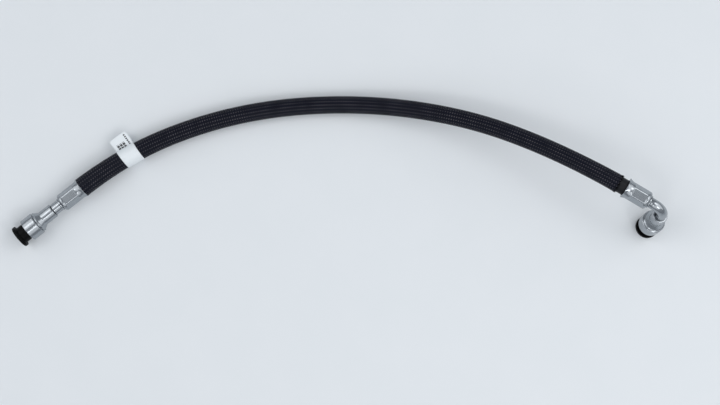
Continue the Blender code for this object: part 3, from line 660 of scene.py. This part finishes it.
def coated_table(colour):
    """Painted board: pale and matt, with a faint mottle."""
    material = new_material("coated_table")
    place = add_node(material, "ShaderNodeTexCoord").outputs["Object"]
    # Mottle of about 60 mm
    mottle = add_node(material, "ShaderNodeTexNoise", [
        ("Vector", place), ("Scale", 16.0), ("Detail", 4.0)])
    tone = add_node(material, "ShaderNodeMix", [
        (0, mottle.outputs[0]), (6, colour), (7, linear("#e3e6e9"))], data_type="RGBA")
    return finish_material(material, [("Base Color", tone.outputs[2]), ("Roughness", 0.7)])


# Mesh tools


def new_piece(name, data, material, body):
    """Links a finished piece, gives it its material, and lets it ride on a CAD body."""
    piece = bpy.data.objects.new(name, data)
    bpy.context.scene.collection.objects.link(piece)
    data.materials.append(material)
    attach(piece, body)
    return piece


def mesh_from(shape, name):
    mesh = bpy.data.meshes.new(name)
    shape.to_mesh(mesh)
    shape.free()
    mesh.shade_smooth()
    return mesh


def rounded(corners):
    """Profile points from (radius, height, rounding) corners, in order round a closed section."""
    points = []
    for index, (radius, height, rounding) in enumerate(corners):
        here = Vector((radius, height))
        if not rounding:
            points.append(here)
            continue
        before = Vector(corners[index - 1][:2]) - here
        after = Vector(corners[(index + 1) % len(corners)][:2]) - here
        half = before.angle(after) / 2
        before.normalize()
        after.normalize()
        reach = rounding / math.tan(half)
        centre = here + (before + after).normalized() * rounding / math.sin(half)
        start = here + before * reach - centre
        sweep = start.angle_signed(here + after * reach - centre)
        points.append(here + before * (reach + SUPPORT_ROW))
        for step in range(FILLET_STEPS + 1):
            points.append(centre + Matrix.Rotation(-sweep * step / FILLET_STEPS, 2) @ start)
        points.append(here + after * (reach + SUPPORT_ROW))
    return points


def turned(points, sides):
    """Spins a closed section of (radius, height) points into a ring or, from the axis, a solid."""
    shape = bmesh.new()
    verts = [shape.verts.new((point[0], 0.0, point[1])) for point in points]
    edges = [shape.edges.new(pair) for pair in zip(verts, verts[1:] + verts[:1])]
    bmesh.ops.spin(
        shape, geom=verts + edges, cent=(0, 0, 0), axis=(0, 0, 1),
        angle=2 * math.pi, steps=sides, use_merge=True, use_duplicate=False)
    bmesh.ops.remove_doubles(shape, verts=shape.verts, dist=MERGE_DISTANCE)
    loose = [edge for edge in shape.edges if not edge.link_faces]
    bmesh.ops.delete(shape, geom=loose, context="EDGES")
    bmesh.ops.recalc_face_normals(shape, faces=shape.faces)
    lay_turning_map(shape)
    return shape


def lay_turning_map(shape):
    """UV map of a turned piece: share of a turn across, and height along the axis in metres."""
    layer = shape.loops.layers.uv.new("turning")
    for face in shape.faces:
        middle = face.calc_center_median()
        facing = math.atan2(middle.y, middle.x)
        for loop in face.loops:
            place = loop.vert.co
            turn = math.remainder(math.atan2(place.y, place.x) - facing, 2 * math.pi)
            loop[layer].uv = ((facing + turn) / (2 * math.pi), place.z)


def turned_piece(name, corners, place, material, body, sides):
    shape = turned(rounded(corners), sides)
    bmesh.ops.transform(shape, matrix=place, verts=shape.verts)
    return new_piece(name, mesh_from(shape, name), material, body)


def vert_places(mesh):
    """Coordinates of a mesh's vertices, as three arrays."""
    places = np.empty(len(mesh.vertices) * 3)
    mesh.vertices.foreach_get("co", places)
    return places.reshape(-1, 3).T


def lay_map(mesh, name, flat):
    """Lays a UV map with one place for each vertex."""
    corner_verts = np.empty(len(mesh.loops), dtype=int)
    mesh.loops.foreach_get("vertex_index", corner_verts)
    mesh.uv_layers[name].data.foreach_set("uv", flat[corner_verts].ravel())


def add_line(curve, places, radii):
    """Adds a line of straight steps to a curve, with a share of its radius at each point."""
    spline = curve.splines.new("POLY")
    spline.points.add(len(places) - 1)
    for point, place, radius in zip(spline.points, places, radii):
        point.co = (*place, 1.0)
        point.radius = radius


# Operators


class FUELLINE_OT_stage(bpy.types.Operator):
    """Table top, soft lamps, sky and the camera over the table"""
    bl_idname = "fuel_line.stage"
    bl_label = "Stage"

    def execute(self, context):
        settings = context.scene.fuel_line_stage
        shape = bmesh.new()
        bmesh.ops.create_circle(shape, cap_ends=True, segments=64, radius=TABLE_RADIUS)
        table = bpy.data.objects.new("table_top", mesh_from(shape, "table_top"))
        table.data.materials.append(coated_table(settings.floor))
        context.scene.collection.objects.link(table)
        for name, place, size, power in LAMPS:
            self.add_lamp(name, Vector(place), size, power)
        world = bpy.data.worlds.new("studio")
        world.use_nodes = True
        sky = world.node_tree.nodes["Background"]
        sky.inputs["Color"].default_value = linear("#dfe6ee")
        sky.inputs["Strength"].default_value = SKY_STRENGTH
        context.scene.world = world
        lens = bpy.data.cameras.new("camera")
        lens.lens = settings.lens
        lens.clip_start = 0.01
        camera = bpy.data.objects.new("camera", lens)
        camera.location = (-PART_CENTRE.x, -PART_CENTRE.y, settings.height)
        context.scene.collection.objects.link(camera)
        context.scene.camera = camera
        context.scene.view_settings.view_transform = "Standard"
        return {"FINISHED"}

    def add_lamp(self, name, place, size, power):
        lamp = bpy.data.lights.new(name, "AREA")
        lamp.size = size
        lamp.energy = power
        thing = bpy.data.objects.new(name, lamp)
        thing.location = place
        thing.rotation_euler = place.to_track_quat("Z", "Y").to_euler()
        bpy.context.scene.collection.objects.link(thing)


class FUELLINE_OT_hose(bpy.types.Operator):
    """Rubber hose from stem to stem, squeezed inside both ferrules"""
    bl_idname = "fuel_line.hose"
    bl_label = "Hose"

    def execute(self, context):
        settings = context.scene.fuel_line_hose
        curve = bpy.data.curves.new("rubber_hose", "CURVE")
        curve.dimensions = "3D"
        curve.twist_mode = "Z_UP"
        curve.bevel_depth = settings.diameter / 2
        curve.bevel_resolution = HOSE_ROUNDNESS
        curve.use_fill_caps = True
        free = [Vector(point) for point in ROUTE.points[::HOSE_POINT_STEP]]
        depths = [Vector((0, 0, HOSE_END)), Vector((0, 0, CRIMP_LEAD))]
        points = [STRAIGHT_END @ depth for depth in depths] + free
        points += [ELBOW_END @ depth for depth in reversed(depths)]
        add_line(curve, points, [CRIMPED_SHARE] * 2 + [1.0] * len(free) + [CRIMPED_SHARE] * 2)
        rubber = extruded_rubber(settings.colour)
        hose = new_piece("rubber_hose", curve, rubber, "hose_assembly")
        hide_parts("hose")
        return {"FINISHED"}


class FUELLINE_OT_braid(bpy.types.Operator):
    """Braided sleeve, yarn by yarn, over two and under two, so that its ribs run lengthwise"""
    bl_idname = "fuel_line.braid"
    bl_label = "Braid"

    def execute(self, context):
        settings = context.scene.fuel_line_braid
        # Right-hand yarns get a strong painted glint on their crowns and left-hand yarns a faint
        # one, so that one hand seems to catch the light
        bright = polyester_yarn("polyester_yarn_strong_painted_glint", settings.colour, settings.painted_glint_colour)
        plain = polyester_yarn("polyester_yarn_faint_painted_glint", settings.colour, linear("#11131e"))
        right = self.lay_yarns("braid_right_hand", settings, 1, bright)
        self.lay_yarns("braid_left_hand", settings, -1, plain)
        self.fray("braid_cut_ends", settings, plain)
        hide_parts("braided_sleeve")
        return {"FINISHED"}

    def lay_yarns(self, name, settings, hand, material):
        """One closed strip for each yarn, drawn from a grid whose rows fall on the crossings."""
        count = settings.yarns
        step = settings.pick / 2
        rows = round((SLEEVE_END - CLEARANCE) / step)
        shape = bmesh.new()
        shape.loops.layers.uv.new("yarn")
        for index in range(count):
            bmesh.ops.create_grid(
                shape, x_segments=YARN_SIDES, y_segments=rows, size=1.0,
                matrix=Matrix.Translation((0, 0, index)), calc_uvs=True)
        mesh = mesh_from(shape, name)
        across, along, index = vert_places(mesh)
        index = np.rint(index)
        row = np.rint((along + 1) / 2 * rows)
        # A stitch takes four rows, two over the other hand and two under, and each yarn is half a
        # stitch ahead of the one before. Whole counts of stitches fall midway between the two rows
        # on top, at the crown.
        beat = 2 * index + hand * row
        over = np.where((beat % 4 < 2) == (hand > 0), 1.0, 0.0)
        stitch = (beat - 0.5) / 4 + (hand < 0) / 2
        # The stitch count in this map places the painted glint on each crown
        lay_map(mesh, "yarn", np.stack([(across + 1) / 2, stitch], axis=1))
        station = CLEARANCE + row * step
        helix = 2 * math.pi / (count * settings.pick)
        slant = math.atan(helix * SLEEVE_RADIUS)
        outer = sleeve_radius(station)
        around = across * math.pi
        sideways = settings.width / 2 * np.cos(around) * outer / SLEEVE_RADIUS
        layer = settings.thickness * LAYER_SHARE
        radius = outer - settings.thickness / 2 - (1 - over) * layer
        radius += settings.thickness / 2 * np.sin(around)
        angle = 2 * math.pi * index / count + hand * helix * (station - CLEARANCE)
        angle += sideways * math.cos(slant) / outer
        station = station - hand * sideways * math.sin(slant)
        mesh.vertices.foreach_set("co", ROUTE.over(angle, station, radius).ravel())
        shape = bmesh.new()
        shape.from_mesh(mesh)
        bmesh.ops.remove_doubles(shape, verts=shape.verts, dist=MERGE_DISTANCE)
        bmesh.ops.holes_fill(shape, edges=shape.edges, sides=YARN_SIDES)
        bmesh.ops.recalc_face_normals(shape, faces=shape.faces)
        shape.to_mesh(mesh)
        shape.free()
        mesh.shade_smooth()
        return new_piece(name, mesh, material, "hose_assembly")

    def fray(self, name, settings, material):
        """Loose filaments where the sleeve was cut off."""
        chance = np.random.default_rng(7)
        curve = bpy.data.curves.new(name, "CURVE")
        curve.dimensions = "3D"
        curve.bevel_depth = FILAMENT_RADIUS
        curve.bevel_resolution = 0
        helix = 2 * math.pi / (settings.yarns * settings.pick)
        share = np.linspace(0.0, 1.0, FILAMENT_POINTS)
        for strand in range(settings.yarns * 2 * FILAMENTS_PER_YARN):
            hand = 1 if strand % 2 else -1
            start = 2 * math.pi * chance.random()
            reach = FRAY_REACH[0] + FRAY_REACH[1] * chance.random() ** 2
            lift = FRAY_LIFT[0] + FRAY_LIFT[1] * chance.random()
            drift = helix * hand * (FRAY_DRIFT[0] + FRAY_DRIFT[1] * chance.random())
            station = SLEEVE_END - FRAY_ROOT + (reach + FRAY_ROOT) * share
            radius = sleeve_radius(station) - FRAY_DEPTH + lift * share ** 2
            points = ROUTE.over(start + drift * (station - SLEEVE_END), station, radius)
            add_line(curve, points, [1.0] * len(points))
        return new_piece(name, curve, material, "hose_assembly")


class FUELLINE_OT_ferrules(bpy.types.Operator):
    """Crimped ferrules with a flared rim, six flats and a rounded nose"""
    bl_idname = "fuel_line.ferrules"
    bl_label = "Ferrules"

    def execute(self, context):
        settings = context.scene.fuel_line_fittings
        material = plated_steel("pressed_zinc_steel", settings.colour, False)
        for end, place in (("straight", STRAIGHT_END), ("elbow", ELBOW_END)):
            shape = turned(self.section(), settings.sides)
            self.crimp(shape)
            bmesh.ops.transform(shape, matrix=place, verts=shape.verts)
            name = end + "_crimped_ferrule"
            mesh = mesh_from(shape, name)
            piece = new_piece(name, mesh, material, "hose_assembly")
            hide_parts(end + "_ferrule")
        return {"FINISHED"}

    def flare(self, height):
        share = max(0.0, 1.0 - height / FERRULE_FLARE_LENGTH)
        return CRIMP_RADIUS + (FERRULE_RIM - CRIMP_RADIUS) * share ** 2

    def section(self):
        """Closed section of the uncrimped ferrule, with rows close enough to take the flats."""
        heights = np.linspace(RIM_EDGE, FERRULE_FLARE_LENGTH, RIM_ROWS)
        points = [(self.flare(height), height) for height in heights]
        nose = FERRULE_LENGTH - NOSE_RADIUS
        rows = round((nose - FERRULE_FLARE_LENGTH) / CRIMP_ROW)
        wall_heights = np.linspace(FERRULE_FLARE_LENGTH, nose, rows)
        points += [(CRIMP_RADIUS, height) for height in wall_heights[1:]]
        centre = CRIMP_RADIUS - NOSE_RADIUS
        for angle in np.linspace(0.0, math.pi / 2, NOSE_STEPS + 1)[1:]:
            points.append((
                centre + NOSE_RADIUS * math.cos(angle), nose + NOSE_RADIUS * math.sin(angle)))
        bore = NECK_RADIUS + CLEARANCE / 2
        front = FERRULE_LENGTH - FERRULE_WALL
        points += [(bore, FERRULE_LENGTH), (bore, front), (CRIMP_RADIUS - FERRULE_WALL, front)]
        points += [(self.flare(height) - FERRULE_WALL, height) for height in heights[::-1]]
        points += [(FERRULE_RIM - FERRULE_WALL + step, height) for step, height in RIM_INSIDE]
        return points + [(FERRULE_RIM + step, height) for step, height in RIM_OUTSIDE]

    def crimp(self, shape):
        """Presses six soft-edged flats into the outer wall."""
        sector = 2 * math.pi / CRIMP_FLATS
        for vert in shape.verts:
            radius = math.hypot(vert.co.x, vert.co.y)
            if radius < CRIMP_FLAT - FERRULE_WALL / 2 or vert.co.z > FERRULE_LENGTH - NOSE_FACE:
                continue
            into = min(vert.co.z - CRIMP_START, CRIMP_END - vert.co.z) / CRIMP_RUNOUT
            depth = max(0.0, min(1.0, into))
            depth = depth * depth * (3 - 2 * depth)
            turn = math.remainder(math.atan2(vert.co.y, vert.co.x), sector)
            flat = (CRIMP_FLAT + (1 - depth) * CRIMP_LIFT) / math.cos(turn)
            softened = CRIMP_BLEND * math.log1p(math.exp(-abs(radius - flat) / CRIMP_BLEND))
            vert.co.xy *= (min(radius, flat) - softened) / radius


class FUELLINE_OT_stems(bpy.types.Operator):
    """Turned stem of the straight end, and the elbow's stem with its brazed and bent pipe"""
    bl_idname = "fuel_line.stems"
    bl_label = "Stems and pipe"

    def execute(self, context):
        settings = context.scene.fuel_line_fittings
        edge = settings.edge
        steel = plated_steel("turned_zinc_steel_stem", settings.colour, True)
        step = PORT_START - 2 * CLEARANCE
        bore = PIPE_RADIUS - PIPE_WALL
        spigot_end = PORT_START + PIPE_IN_HEAD
        stem = turned_piece("straight_stem", self.tail(edge) + [
            (NECK_RADIUS, COLLAR_END + COLLAR_SLOPE, COLLAR_FILLET),
            (NECK_RADIUS, step, edge), (PIPE_RADIUS, step, 0), (PIPE_RADIUS, spigot_end, 0),
            (bore, spigot_end, 0), (bore, COLLAR_END, 0), (NIPPLE_BORE, COLLAR_END, 0),
            (NIPPLE_BORE, TAIL_START, 0),
        ], STRAIGHT_END, steel, "hose_assembly", settings.sides)
        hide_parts("straight_nipple")
        socket = PIPE_RADIUS + CLEARANCE / 2
        floor = COLLAR_END - BRAZE_SOCKET
        stem = turned_piece("elbow_stem", self.tail(edge) + [
            (PIPE_RADIUS + BRAZE_FILLET, COLLAR_END, BRAZE_ROUNDING),
            (socket, COLLAR_END + BRAZE_FILLET, 0),
            (socket, floor, 0), (NIPPLE_BORE, floor, 0), (NIPPLE_BORE, TAIL_START, 0),
        ], ELBOW_END, steel, "hose_assembly", settings.sides)
        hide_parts("elbow_nipple")
        self.bend_pipe(plated_steel("drawn_zinc_steel", settings.colour, False))
        return {"FINISHED"}

    def tail(self, edge):
        """Barbed hose tail, hidden in the hose, with the collar beyond the ferrule."""
        shoulder = HOSE_END + CLEARANCE
        root = TAIL_RADIUS - BARB_DEPTH
        corners = [(root, TAIL_START, 0)]
        for index in range(BARB_COUNT):
            start = TAIL_START + BARB_PITCH * index
            crest = start + BARB_RAMP
            corners += [(TAIL_RADIUS, crest, 0), (TAIL_RADIUS, crest + BARB_CREST, 0)]
            corners += [(root, start + BARB_PITCH, 0)]
        return corners + [
            (root, shoulder, 0), (NECK_RADIUS, shoulder, 0), (NECK_RADIUS, COLLAR_START, 0),
            (COLLAR_RADIUS, COLLAR_START, edge / 2), (COLLAR_RADIUS, COLLAR_END, edge),
        ]

    def bend_pipe(self, material):
        """Circle drawn out of the socket, spun round the bend and drawn on into the nut."""
        start = COLLAR_END - BRAZE_SOCKET + CLEARANCE
        shape = bmesh.new()
        bmesh.ops.create_circle(
            shape, segments=PIPE_SIDES, radius=PIPE_RADIUS,
            matrix=ELBOW_END @ Matrix.Translation((0, 0, start)))
        ring = self.draw_out(shape, shape.edges[:], HOSE_RUN * (ELBOW_RUN - BEND_RADIUS - start))
        centre = ELBOW_CORNER + (ELBOW_LEG - HOSE_RUN) * BEND_RADIUS
        bend = bmesh.ops.spin(
            shape, geom=ring, cent=centre, axis=HOSE_RUN.cross(ELBOW_LEG),
            angle=math.pi / 2, steps=BEND_STEPS, use_merge=False, use_duplicate=False)["geom_last"]
        edges = [part for part in bend if isinstance(part, bmesh.types.BMEdge)]
        self.draw_out(shape, edges, ELBOW_LEG * (BEND_TO_NUT + PIPE_IN_HEAD))
        bmesh.ops.recalc_face_normals(shape, faces=shape.faces)
        mesh = mesh_from(shape, "elbow_bent_pipe")
        pipe = new_piece("elbow_bent_pipe", mesh, material, "hose_assembly")
        wall = pipe.modifiers.new("Wall", "SOLIDIFY")
        wall.thickness = PIPE_WALL
        wall.offset = -1.0
        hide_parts("elbow_pipe")

    def draw_out(self, shape, edges, reach):
        """Extrudes a ring of edges by a vector and returns the new ring's verts and edges."""
        drawn = bmesh.ops.extrude_edge_only(shape, edges=edges)["geom"]
        verts = [part for part in drawn if isinstance(part, bmesh.types.BMVert)]
        bmesh.ops.translate(shape, verts=verts, vec=reach)
        return [part for part in drawn if not isinstance(part, bmesh.types.BMFace)]


class FUELLINE_OT_nuts(bpy.types.Operator):
    """Swivel nuts with a long tail, a flared shoulder, a groove and a larger round front"""
    bl_idname = "fuel_line.nuts"
    bl_label = "Swivel nuts"

    def execute(self, context):
        settings = context.scene.fuel_line_fittings
        edge = settings.edge
        steel = plated_steel("turned_zinc_steel_nut", settings.colour, True)
        land = NUT_GROOVE_START - NUT_SHOULDER_LAND
        groove = NUT_SHOULDER_RADIUS - NUT_GROOVE_DEPTH
        seat_end = NUT_SEAT_START + NUT_THREAD_RADIUS - NUT_BORE_RADIUS
        corners = [
            (NUT_TAIL_RADIUS, 0.0, NUT_TAIL_ROUNDING),
            (NUT_TAIL_RADIUS, NUT_TAIL_LENGTH, NUT_TAIL_FILLET),
            (NUT_SHOULDER_RADIUS - NUT_LIP_RISE, land - NUT_LIP_LENGTH, NUT_LIP_FILLET),
            (NUT_SHOULDER_RADIUS, land, NUT_LIP_ROUNDING),
            (NUT_SHOULDER_RADIUS, NUT_GROOVE_START, NUT_GROOVE_EDGE),
            (groove, NUT_GROOVE_START, 0), (groove, NUT_FRONT_START, 0),
            (NUT_SHOULDER_RADIUS, NUT_FRONT_START, 0),
            (NUT_FRONT_RADIUS, NUT_FRONT_START + NUT_FRONT_CHAMFER, 2 * edge),
            (NUT_FRONT_RADIUS, NUT_LENGTH, 2 * edge),
            (NUT_THREAD_RADIUS + NUT_MOUTH_CHAMFER, NUT_LENGTH, NUT_BORE_EDGE),
            (NUT_THREAD_RADIUS, NUT_LENGTH - NUT_MOUTH_CHAMFER, 0),
            (NUT_THREAD_RADIUS, seat_end, 0), (NUT_BORE_RADIUS, NUT_SEAT_START, 0),
            (NUT_BORE_RADIUS, 0.0, NUT_BORE_EDGE),
        ]
        for end, place in (("straight", STRAIGHT_PORT), ("elbow", ELBOW_PORT)):
            piece = turned_piece(
                end + "_swivel_nut", corners, place, steel, end + "_swivel",
                settings.sides)
            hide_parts(end + "_nut")
        # Heads and seal rings stay the CAD's own, and without a turning map they take no tool rings
        seal = nitrile_rubber()
        head = plated_steel("turned_zinc_steel_head", settings.colour, False)
        for end in ("straight", "elbow"):
            for node, material in ((end + "_cone_head", head), (end + "_seal_ring", seal)):
                frame["nodes"][node].data.materials.clear()
                frame["nodes"][node].data.materials.append(material)
        return {"FINISHED"}


class FUELLINE_OT_caps(bpy.types.Operator):
    """Flanged dust plugs pushed into the nuts"""
    bl_idname = "fuel_line.caps"
    bl_label = "Dust plugs"

    def execute(self, context):
        material = moulded_polyethylene(context.scene.fuel_line_caps.colour)
        sides = context.scene.fuel_line_fittings.sides
        start = NUT_LENGTH - CAP_INSERT
        bore = CAP_PLUG_RADIUS - CAP_WALL
        corners = [
            (0.0, CAP_FACE, 0), (CAP_FLANGE_RADIUS, CAP_FACE, CAP_FACE_ROUNDING),
            (CAP_FLANGE_RADIUS, CAP_FLANGE_START, CAP_FLANGE_ROUNDING),
            (CAP_PLUG_RADIUS, CAP_FLANGE_START, CAP_FILLET),
            (CAP_PLUG_RADIUS, start + CAP_LEAD, CAP_EDGE),
            (CAP_PLUG_RADIUS - CAP_TAPER, start, CAP_EDGE),
            (bore, start, CAP_EDGE), (bore, CAP_FACE - CAP_WALL, 0), (0.0, CAP_FACE - CAP_WALL, 0),
        ]
        for end, place in (("straight", STRAIGHT_PORT), ("elbow", ELBOW_PORT)):
            piece = turned_piece(
                end + "_dust_plug", corners, place, material, end + "_swivel", sides)
            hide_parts(end + "_cap")
        return {"FINISHED"}


class FUELLINE_OT_label(bpy.types.Operator):
    """Film label wrapped once round the sleeve, its ends stuck together as a flag"""
    bl_idname = "fuel_line.label"
    bl_label = "Label"

    def execute(self, context):
        settings = context.scene.fuel_line_label
        line, flag_root = self.fold()
        run = np.concatenate([[0.0], np.cumsum(np.linalg.norm(np.diff(line, axis=0), axis=1))])
        columns = len(line) - 1
        shape = bmesh.new()
        shape.loops.layers.uv.new("film")
        bmesh.ops.create_grid(
            shape, x_segments=columns, y_segments=LABEL_ROWS, size=1.0, calc_uvs=True)
        mesh = mesh_from(shape, "flag_label")
        position, share, _ = vert_places(mesh)
        column = np.rint((position + 1) / 2 * columns).astype(int)
        x, y = line[column].T
        from_tip = np.minimum(run[column], run[-1] - run[column])
        cut = np.clip(LABEL_CORNER - from_tip, 0.0, LABEL_CORNER)
        half_width = settings.width / 2 - LABEL_CORNER + np.sqrt(LABEL_CORNER ** 2 - cut ** 2)
        across = share * half_width
        # The flag stands a little askew on the hose
        reach = np.clip((x - flag_root) / (LABEL_REACH - flag_root), 0.0, 1.0)
        x = x + reach * (across * math.sin(LABEL_SKEW) - LABEL_REACH * (1 - math.cos(LABEL_SKEW)))
        along = across / math.cos(LABEL_SKEW) - x * math.tan(LABEL_SKEW)
        points = ROUTE.over(np.arctan2(y, x), LABEL_STATION + along, np.hypot(x, y))
        mesh.vertices.foreach_set("co", points.ravel())
        lay_map(mesh, "film", np.stack([run[column], across], axis=1))
        mesh.update()
        material = printed_film(settings.colour, settings.ink)
        piece = new_piece("flag_label", mesh, material, "hose_assembly")
        film = piece.modifiers.new("Film", "SOLIDIFY")
        film.thickness = settings.film
        film.offset = 1.0
        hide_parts("label")
        return {"FINISHED"}

    def fold(self):
        """Line of the film across the hose, from tip to tip, and where its flag starts."""
        wrap = float(sleeve_radius(LABEL_STATION)) + LABEL_EASE
        ply = CLEARANCE / 2
        lift = ply + LABEL_FILLET
        root = math.sqrt((wrap + LABEL_FILLET) ** 2 - lift ** 2)
        meeting = math.atan2(lift, root)
        half = [(x, ply) for x in np.linspace(LABEL_REACH, root, LABEL_FLAG_STEPS)]
        for turn in np.linspace(-math.pi / 2, meeting - math.pi, LABEL_FILLET_STEPS)[1:]:
            half.append((
                root + LABEL_FILLET * math.cos(turn), lift + LABEL_FILLET * math.sin(turn)))
        for turn in np.linspace(meeting, math.pi, LABEL_WRAP_STEPS)[1:]:
            half.append((wrap * math.cos(turn), wrap * math.sin(turn)))
        return np.array(half + [(x, -y) for x, y in reversed(half[:-1])]), root


OPERATORS = [
    FUELLINE_OT_stage,
    FUELLINE_OT_braid,
    FUELLINE_OT_label,
    FUELLINE_OT_hose,
    FUELLINE_OT_ferrules,
    FUELLINE_OT_stems,
    FUELLINE_OT_nuts,
    FUELLINE_OT_caps,
]


class FUELLINE_PT_panel(bpy.types.Panel):
    """Settings and makers of the fuel line"""
    bl_idname = "FUELLINE_PT_panel"
    bl_label = "Fuel Line"
    bl_space_type = "VIEW_3D"
    bl_region_type = "UI"
    bl_category = "Fuel Line"

    def draw(self, context):
        for group, settings in SETTINGS.items():
            box = self.layout.box()
            for name in settings.__annotations__:
                box.prop(getattr(context.scene, group), name)
        for operator in OPERATORS:
            self.layout.operator(operator.bl_idname)


def register():
    for group, settings in SETTINGS.items():
        bpy.utils.register_class(settings)
        setattr(bpy.types.Scene, group, PointerProperty(type=settings))
    for operator in OPERATORS:
        bpy.utils.register_class(operator)
    bpy.utils.register_class(FUELLINE_PT_panel)


def unregister():
    bpy.utils.unregister_class(FUELLINE_PT_panel)
    for operator in reversed(OPERATORS):
        bpy.utils.unregister_class(operator)
    for group, settings in reversed(SETTINGS.items()):
        delattr(bpy.types.Scene, group)
        bpy.utils.unregister_class(settings)


def main():
    register()
    bpy.ops.fuel_line.stage()
    bpy.ops.fuel_line.braid()
    bpy.ops.fuel_line.label()
    bpy.ops.fuel_line.hose()
    bpy.ops.fuel_line.ferrules()
    bpy.ops.fuel_line.stems()
    bpy.ops.fuel_line.nuts()
    bpy.ops.fuel_line.caps()


if __name__ == "__main__":
    main()
